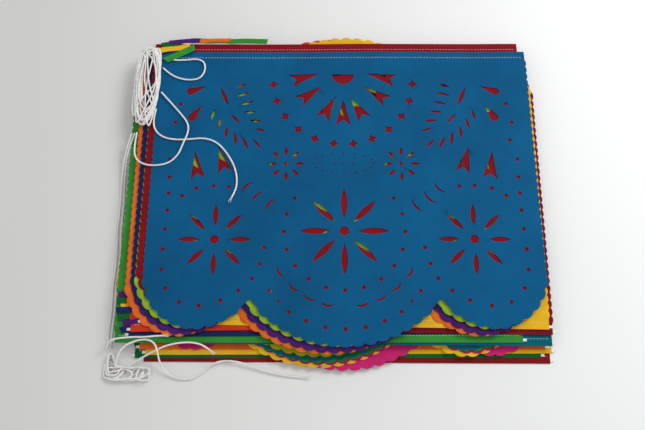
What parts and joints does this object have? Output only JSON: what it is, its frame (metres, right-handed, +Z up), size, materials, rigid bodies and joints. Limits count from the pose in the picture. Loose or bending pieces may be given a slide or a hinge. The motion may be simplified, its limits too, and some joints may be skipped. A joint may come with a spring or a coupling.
{
  "type": "papel picado banner",
  "caption": "Stack of coloured tissue-paper flags with cut-out patterns and scalloped lobes, hemmed on white cotton twine and laid flat in a pile.",
  "frame": {"origin": "middle of the stack of flags, loose twine left out, on the surface that it lies on", "axes": "+X across the flags, to the right; +Y to the back, where the top flag's hem is; +Z up"},
  "size_m": [0.504, 0.4255, 0.028],
  "materials": {
    "paper_blue": "thin matte tissue paper",
    "paper_red": "thin matte tissue paper",
    "paper_lime": "thin matte tissue paper",
    "paper_navy": "thin matte tissue paper",
    "paper_orange": "thin matte tissue paper",
    "paper_purple": "thin matte tissue paper",
    "paper_yellow": "thin matte tissue paper",
    "paper_red_orange": "thin matte tissue paper",
    "paper_dark_red": "thin matte tissue paper",
    "paper_light_green": "thin matte tissue paper",
    "paper_teal": "thin matte tissue paper",
    "paper_olive": "thin matte tissue paper",
    "paper_dark_green": "thin matte tissue paper",
    "paper_green": "thin matte tissue paper",
    "paper_magenta": "thin matte tissue paper",
    "paper_pink": "thin matte tissue paper",
    "twine": "soft white cotton"
  },
  "bodies": {
    "root": {"flag_01_blue": "paper_blue", "hem_cord_01": "twine", "flag_02_red": "paper_red", "hem_cord_02": "twine", "flag_03_lime": "paper_lime", "hem_cord_03": "twine", "flag_04_navy": "paper_navy", "hem_cord_04": "twine", "flag_05_purple": "paper_purple", "hem_cord_05": "twine", "flag_06_orange": "paper_orange", "hem_cord_06": "twine", "flag_07_yellow": "paper_yellow", "hem_cord_07": "twine", "flag_08_red_orange": "paper_red_orange", "hem_cord_08": "twine", "flag_09_dark_red": "paper_dark_red", "hem_cord_09": "twine", "flag_10_navy": "paper_navy", "hem_cord_10": "twine", "flag_11_light_green": "paper_light_green", "hem_cord_11": "twine", "flag_12_teal": "paper_teal", "hem_cord_12": "twine", "flag_13_olive": "paper_olive", "hem_cord_13": "twine", "flag_14_dark_green": "paper_dark_green", "hem_cord_14": "twine", "flag_15_blue": "paper_blue", "hem_cord_15": "twine", "flag_16_green": "paper_green", "hem_cord_16": "twine", "flag_17_magenta": "paper_magenta", "hem_cord_17": "twine", "flag_18_yellow": "paper_yellow", "hem_cord_18": "twine", "flag_19_pink": "paper_pink", "hem_cord_19": "twine", "flag_20_orange": "paper_orange", "hem_cord_20": "twine", "flag_21_yellow": "paper_yellow", "hem_cord_21": "twine", "flag_22_dark_green": "paper_dark_green", "hem_cord_22": "twine", "flag_23_red": "paper_red", "hem_cord_23": "twine", "twine_hank": "twine", "twine_loop_1": "twine", "twine_loop_2": "twine", "twine_loop_3": "twine", "twine_strand_1": "twine", "twine_strand_2": "twine", "twine_tail_1": "twine", "twine_tail_2": "twine", "twine_tail_3": "twine", "twine_tangle": "twine"}
  },
  "joints": []
}
